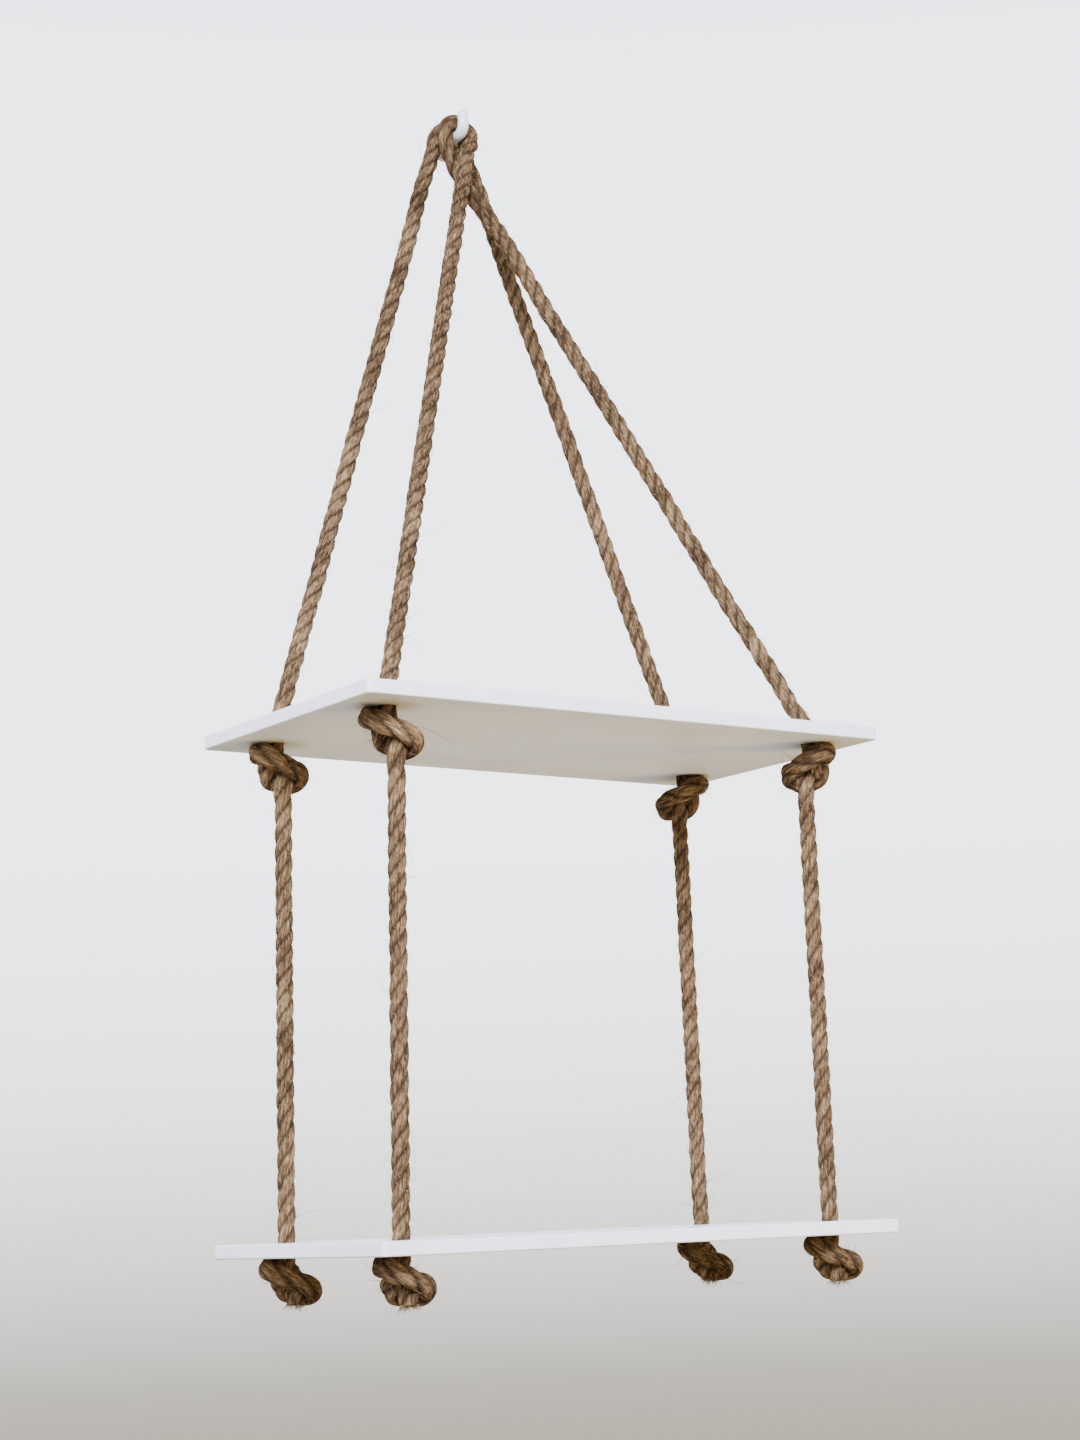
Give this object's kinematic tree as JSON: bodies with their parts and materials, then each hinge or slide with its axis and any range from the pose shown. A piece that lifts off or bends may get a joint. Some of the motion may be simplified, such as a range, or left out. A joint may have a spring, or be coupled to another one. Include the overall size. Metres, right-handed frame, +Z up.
{
  "type": "rope wall shelf with wall hook",
  "caption": "Hanging wall shelf: white boards one above the other, threaded on knotted jute ropes that come together over one J-shaped wall hook.",
  "frame": {"origin": "middle of the hook plate's back, on the wall plane y = 0", "axes": "+Y into the wall, -Y out into the room, +X to the right as seen from the room, +Z up"},
  "size_m": [0.305, 0.168, 0.6424],
  "materials": {
    "board_paint": "thin wooden board with white satin paint, edges slightly rounded",
    "jute_rope": "natural jute rope of three right-laid strands, matt and slightly hairy",
    "hook_coating": "steel with a smooth white coating"
  },
  "bodies": {
    "root": {"upper_board": "board_paint", "lower_board": "board_paint", "front_rope": "jute_rope", "back_rope": "jute_rope", "wall_hook": "hook_coating"}
  },
  "joints": []
}
